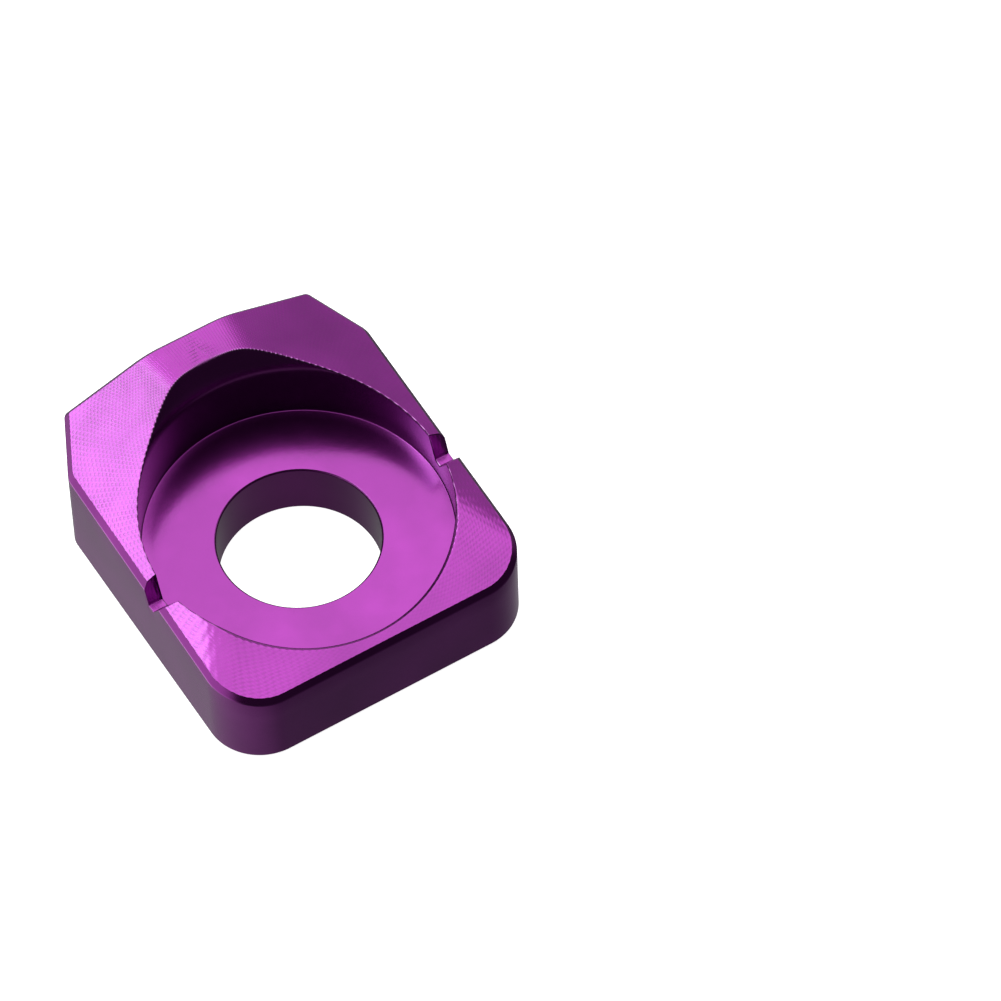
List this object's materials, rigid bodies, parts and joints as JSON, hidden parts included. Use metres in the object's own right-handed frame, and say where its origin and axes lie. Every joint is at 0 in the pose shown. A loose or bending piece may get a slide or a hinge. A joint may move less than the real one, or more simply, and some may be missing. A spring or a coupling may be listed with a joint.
{
  "type": "motorcycle chain adjuster",
  "caption": "Milled axle block for a swingarm end: a bore for the rear axle in a round nut pocket, a faceted hood behind it, a low lip in front and index notches at both sides.",
  "frame": {"origin": "the axle bore's axis on the flat seat that lies against the swingarm", "axes": "+Z along the axle, away from the seat; +Y towards the raised hood; X across the block"},
  "size_m": [0.042, 0.0475, 0.0192],
  "materials": {
    "anodised_body": "satin purple anodised, with fine milling marks on the facets"
  },
  "bodies": {
    "root": {"axle_block": "anodised_body"}
  },
  "joints": []
}
